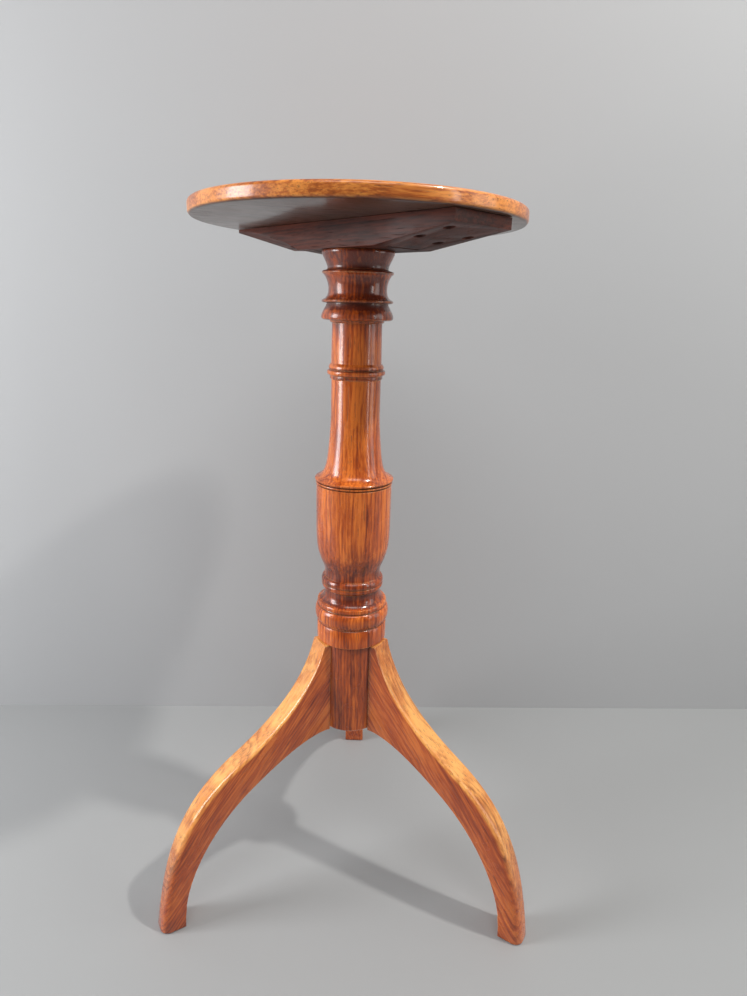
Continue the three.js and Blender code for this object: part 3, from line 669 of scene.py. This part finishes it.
def make_column():
    """Turned column with a flat in its post for each leg's root."""
    column = turned("column_turned", column_outline(), steps=COLUMN_SIDES)
    half = LEG_HALF + PLAY
    for turn in LEG_TURNS.values():
        flat = box("flat", (SHOULDER - PLAY, -half, FLAT_LOW), (FLAT_REACH, half, COLLAR_FOOT))
        cut(column, place(flat, Matrix.Rotation(math.radians(turn), 4, "Z")))
    place(column, Matrix.Translation((column_x, column_y, 0)))
    finish_piece(column, "stand", "oak_turned", oak_turned, "column", angle=38)


# ------------------------------------------------------------------ legs

def leg_stations():
    """The leg's side view: outer point, inner point and rounding of the outer arrises at each station.

    The rounding starts small at the root, grows over the first stations, and again towards the foot.
    """
    outer = [(37.5, 278.7)]
    outer += curve_points((37.5, 278.7), (50.5, 230.7), (87.5, 196.7), (128.5, 170.7), LEG_STEPS)
    outer += curve_points((128.5, 170.7), (182.5, 136.7), (206, 93.9), (218, 0), LEG_STEPS)
    inner = [(31, 178.5)]
    inner += curve_points((31, 178.5), (58, 180), (96, 154), (121, 136), LEG_STEPS)
    inner += curve_points((121, 136), (154, 112), (194, 62.6), (194, 0), LEG_STEPS)
    stations = []
    for number, (top, under) in enumerate(zip(outer, inner)):
        share = number / (2 * LEG_STEPS)
        rounding = 1 + 3 * min(1, number / 6) + 5 * max(0, (share - 0.5) * 2) ** 1.3
        stations.append((Vector(top) * MM, Vector(under) * MM, rounding * MM))
    return stations


def chosen_vertices():
    """Numbers of the selected vertices."""
    mesh = bmesh.from_edit_mesh(bpy.context.object.data)
    mesh.verts.index_update()
    return {vertex.index for vertex in mesh.verts if vertex.select}


def on_sole(edge):
    """Whether an edge lies on the floor."""
    return max(vertex.co.z for vertex in edge.verts) < TINY


def is_under_arris(edge):
    """Whether a leg's edge lies between a cheek and the underside, off the sole and the root."""
    if len(edge.link_faces) != 2 or abs(edge.verts[0].co.y - edge.verts[1].co.y) > TINY or on_sole(edge):
        return False
    cheek, other = sorted((face.normal for face in edge.link_faces), key=lambda normal: -abs(normal.y))
    if abs(cheek.y) <= 0.9 or abs(other.y) >= 0.1:
        return False
    return other.x + other.z < 0 and abs(other.x + 1) > 0.01


def make_leg():
    """One leg, pointing along +X from the column's axis: its end face is drawn out station by station."""
    stations = leg_stations()
    outer, inner, rounding = stations[0]
    outer = Vector((SHOULDER, outer.y))
    select_nothing()
    bpy.ops.mesh.primitive_plane_add(size=1, location=(SHOULDER, 0, (outer.y + inner.y) / 2),
                                     rotation=(0, math.pi / 2, 0))
    bpy.ops.object.transform_apply(location=True, rotation=True, scale=True)
    leg = bpy.context.object
    leg.name = "leg"
    edit(leg)
    bpy.ops.mesh.select_all(action="SELECT")
    bpy.ops.transform.resize(value=(1, 2 * LEG_HALF, outer.y - inner.y))
    choose("VERT", lambda vertex: vertex.co.z > outer.y - MM)
    bpy.ops.mesh.bevel(offset=rounding, segments=6, affect="VERTICES")
    bpy.ops.mesh.select_all(action="SELECT")

    for new_outer, new_inner, new_rounding in stations:
        bpy.ops.mesh.select_mode(type="FACE")
        bpy.ops.mesh.extrude_region_move(TRANSFORM_OT_translate={"value": (0, 0, 0)})
        drawn = chosen_vertices()
        choose("VERT", lambda vertex: vertex.index in drawn and (vertex.co.xz - inner).length < 2 * TINY)
        under = chosen_vertices()
        step = new_inner - inner
        bpy.ops.transform.translate(value=(step.x, 0, step.y))
        choose("VERT", lambda vertex: vertex.index in drawn - under)
        step = new_outer - outer
        bpy.ops.transform.translate(value=(step.x, 0, step.y))
        before, after = outer - inner, new_outer - new_inner
        tilt = math.atan2(after.y, after.x) - math.atan2(before.y, before.x)
        bpy.ops.transform.rotate(value=tilt, orient_axis="Y", center_override=(new_outer.x, 0, new_outer.y))
        growth = new_rounding / rounding
        for side in (-1, 1):
            choose("VERT", lambda vertex: vertex.index in drawn - under and vertex.co.y * side > 0)
            corner = (new_outer.x, side * LEG_HALF, new_outer.y)
            bpy.ops.transform.resize(value=(growth, growth, growth), center_override=corner)
        choose("VERT", lambda vertex: vertex.index in drawn)
        outer, inner, rounding = new_outer, new_inner, new_rounding

    bpy.ops.mesh.select_all(action="SELECT")
    bpy.ops.mesh.remove_doubles(threshold=WELD)
    bpy.ops.mesh.normals_make_consistent(inside=False)

    choose("EDGE", is_under_arris)
    bpy.ops.mesh.bevel(offset=UNDER_ARRIS, segments=2, affect="EDGES")
    choose("EDGE", on_sole)
    bpy.ops.mesh.bevel(offset=SOLE_ARRIS, segments=3, affect="EDGES")
    return close()


def make_legs():
    """Three legs from one pattern, each with its own piece of oak."""
    pattern = make_leg()
    for name, turn in LEG_TURNS.items():
        leg = copy_of(pattern, name + "_carved")
        upright = Matrix.Translation((column_x, column_y, 0)) @ Matrix.Rotation(math.radians(turn), 4, "Z")
        place(leg, upright)
        outwards = Matrix.Rotation(math.radians(turn), 3, "Z") @ LEG_GRAIN
        finish = oak("oak_" + name, outwards, LEG_PITH[name], LEG_COLOURS, 0.17, contrast=0.44,
                     painted_top_light=LEG_PAINTED_TOP_LIGHT)
        finish_piece(leg, "stand", "oak_leg", finish, name, angle=34)
    bpy.data.objects.remove(pattern)


# ------------------------------------------------------------------ top

def make_top():
    """Round board with a rounded rim, the size of the frame's board."""
    radius = (top_high[0] - top_low[0]) / 2
    thickness = top_high[2] - top_low[2]
    select_nothing()
    bpy.ops.mesh.primitive_cylinder_add(vertices=TOP_SIDES, radius=radius, depth=thickness,
                                        location=(column_x, column_y, table_height - thickness / 2))
    bpy.ops.object.transform_apply(location=True, rotation=True, scale=True)
    top = bpy.context.object
    top.name = "table_top_board"
    edit(top)
    choose("EDGE", lambda edge: abs(edge.verts[0].co.z - edge.verts[1].co.z) < MM)
    bpy.ops.mesh.bevel(offset=RIM_ROUNDING, segments=6, affect="EDGES")
    close()
    finish_piece(top, "top", "oak_top", oak_top, "table_top", angle=40)


# ------------------------------------------------------------------ bearer

def make_bearer():
    """Board under the top: tapered at one end and scooped at the other, with its slot and holes."""
    bottom, top = bearer_low[2], bearer_high[2]
    corner = Vector((BEARER_HALF_LENGTH, BEARER_HALF_WIDTH, 0))
    bearer = box("bearer_board", (-corner.x, -corner.y, bottom), (corner.x, corner.y, top))
    edit(bearer)
    bpy.ops.mesh.select_all(action="SELECT")
    bpy.ops.mesh.bisect(plane_co=(BEARER_HALF_LENGTH - TAPER_LENGTH, 0, 0), plane_no=(1, 0, 0))
    choose("VERT", lambda vertex: vertex.co.x > BEARER_HALF_LENGTH - MM and vertex.co.z < bottom + MM)
    bpy.ops.transform.translate(value=(0, 0, TAPER_RISE))
    close()

    scoop_z = top - SCOOP_TIP - SCOOP_RADIUS / math.cos(SCOOP_TILT)
    across = Vector((0, math.cos(SCOOP_TILT), -math.sin(SCOOP_TILT))) * SCOOP_REACH
    centre = Vector((-BEARER_HALF_LENGTH, 0, scoop_z))
    cut(bearer, rod("scoop", SCOOP_RADIUS, centre - across, centre + across, sides=400))
    slot_nose = pivot_local.x + (top - pivot_local.z) + NOSE_ROOM
    slot_low, slot_high = (-SLOT_TAIL, -SLOT_HALF, bottom - THROUGH), (slot_nose, SLOT_HALF, top + THROUGH)
    cut(bearer, box("slot", slot_low, slot_high))
    pin_start = Vector((pivot_local.x, PIN_COVER - BEARER_HALF_WIDTH, pivot_local.z))
    cut(bearer, rod("pin_hole", PIN_HOLE, pin_start, pin_start + HOLE_REACH))
    bolt_start = Vector((BOLT_X, 0, top_low[2] - BOLT_DROP))
    cut(bearer, rod("bolt_hole", BOLT_HOLE, bolt_start, bolt_start + HOLE_REACH))
    for x, y in SCREW_PLACES:
        pocket_mouth = (x * MM, y * MM, bottom - THROUGH)
        pocket_end = (x * MM, y * MM, top - POCKET_COVER)
        cut(bearer, rod("pocket", POCKET_RADIUS, pocket_mouth, pocket_end, sides=32))
    soften(bearer, BEARER_ARRIS)
    place(bearer, bearer_frame)
    finish_piece(bearer, "top", "oak_dark", oak_dark, "bearer")


make_column()
make_legs()
make_top()
make_bearer()

# pieces that keep the frame's shape
FINISHES = {"pivot_block": oak_dark, "tenon_wedge": oak_dark, "pivot_pin": iron}
for name, node in frame["nodes"].items():
    material = FINISHES.get(name)
    if name.startswith("bearer_screw"):
        material = iron
    if name.startswith("catch"):
        material = brass
    if material:
        for slot in node.material_slots:
            slot.material = material


# ------------------------------------------------------------------ floor, light and camera

def paint(name, colour, rough):
    """Plain studio paint."""
    material = bpy.data.materials.new(name)
    material.use_nodes = True
    shader = material.node_tree.nodes["Principled BSDF"]
    shader.inputs["Base Color"].default_value = (*colour, 1)
    shader.inputs["Roughness"].default_value = rough
    return material


def make_studio():
    """Pale floor and a plain grey wall behind the table; the wall can't be seen from its back."""
    select_nothing()
    bpy.ops.mesh.primitive_plane_add(size=STUDIO_SIZE, location=(0, 0, -FLOOR_DROP))
    floor = bpy.context.object
    floor.name = "floor"
    floor.data.materials.append(paint("floor_paint", (0.33, 0.335, 0.335), 0.6))

    select_nothing()
    bpy.ops.mesh.primitive_plane_add(size=STUDIO_SIZE,
                                     location=(0, column_y + WALL_BEHIND, STUDIO_SIZE / 2 - WALL_SUNK),
                                     rotation=(math.pi / 2, 0, WALL_TURN))
    wall = bpy.context.object
    wall.name = "wall"
    material = paint("wall_paint", (0.42, 0.425, 0.43), 0.7)
    tree = material.node_tree
    shader = tree.nodes["Principled BSDF"]
    behind = new_node(tree, "ShaderNodeNewGeometry").outputs["Backfacing"]
    clear = new_node(tree, "ShaderNodeBsdfTransparent").outputs[0]
    seen = new_node(tree, "ShaderNodeMixShader", {0: behind, 1: shader.outputs[0], 2: clear})
    tree.links.new(seen.outputs[0], tree.nodes["Material Output"].inputs["Surface"])
    wall.data.materials.append(material)


def soft_light(name, position, target, width, height, power, colour):
    """Rectangular studio light aimed at a point."""
    light = bpy.data.lights.new(name, "AREA")
    light.shape = "RECTANGLE"
    light.size = width
    light.size_y = height
    light.energy = power
    light.color = colour
    lamp = bpy.data.objects.new(name, light)
    lamp.location = position
    lamp.rotation_euler = (Vector(target) - Vector(position)).to_track_quat("-Z", "Y").to_euler()
    bpy.context.scene.collection.objects.link(lamp)


def make_lights():
    """The studio lights and a dim grey sky."""
    for light in LIGHTS:
        soft_light(*light)
    world = bpy.data.worlds.new("studio")
    bpy.context.scene.world = world
    world.use_nodes = True
    world.node_tree.nodes["Background"].inputs["Color"].default_value = SKY_COLOUR
    world.node_tree.nodes["Background"].inputs["Strength"].default_value = SKY_STRENGTH
    bpy.context.scene.view_settings.view_transform = "Standard"


def make_camera():
    """Camera in front of the table, a little below the top's height, looking down at the legs."""
    camera = bpy.data.cameras.new("camera")
    camera.lens = CAMERA_LENS
    camera.sensor_width = CAMERA_SENSOR
    holder = bpy.data.objects.new("camera", camera)
    bpy.context.scene.collection.objects.link(holder)
    heading = Matrix.Rotation(CAMERA_HEADING, 4, "Z")
    tilt = Matrix.Rotation(math.pi / 2 - CAMERA_PITCH, 4, "X")
    roll = Matrix.Rotation(CAMERA_ROLL, 4, "Z")
    place_at = Matrix.Translation((CAMERA_X, column_y - CAMERA_AHEAD, CAMERA_HEIGHT))
    holder.matrix_world = place_at @ (heading @ tilt @ roll)
    bpy.context.scene.camera = holder


make_studio()
make_lights()
make_camera()
